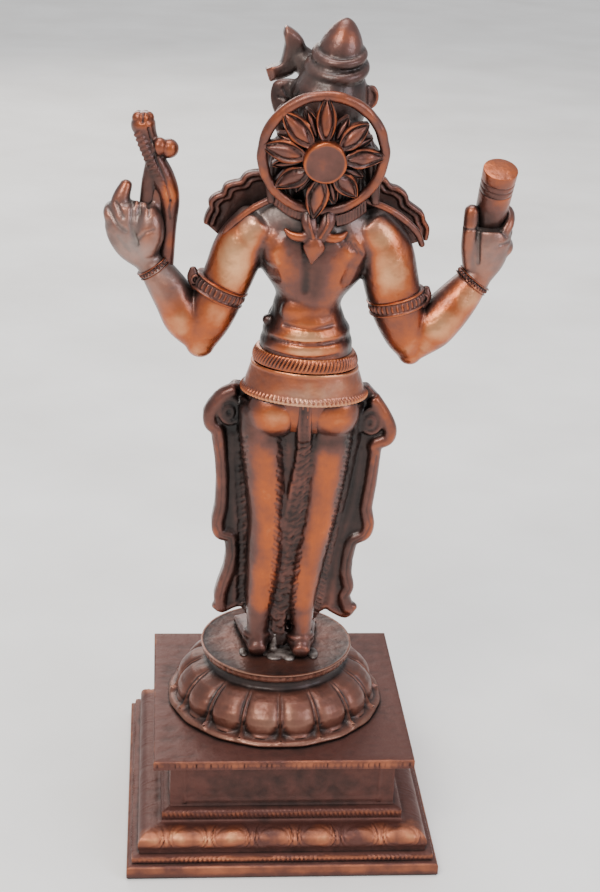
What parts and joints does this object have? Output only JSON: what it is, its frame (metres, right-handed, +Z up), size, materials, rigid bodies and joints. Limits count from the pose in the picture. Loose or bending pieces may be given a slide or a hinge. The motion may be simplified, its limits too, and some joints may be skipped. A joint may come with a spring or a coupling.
{
  "type": "varahi figure",
  "caption": "Standing sow-headed goddess in cast copper alloy with wheel halo, plough and pestle, on a lotus pedestal and stepped square plinth.",
  "frame": {"origin": "centre of the plinth's flat underside", "axes": "+Z up; the figure faces -Y and shows its back and its wheel halo to +Y; +X is the figure's left, the side of the plough"},
  "size_m": [0.0986, 0.0804, 0.2059],
  "materials": {
    "plinth_copper": "red-brown patina, rubbed brighter on the rounded moulding",
    "pedestal_bronze": "dark brown patina with rubbed petals",
    "figure_copper": "polished copper on the high places, dark brown in the folds"
  },
  "bodies": {
    "root": {"plinth": "plinth_copper", "lotus_pedestal": "pedestal_bronze", "figure": "figure_copper"}
  },
  "joints": []
}
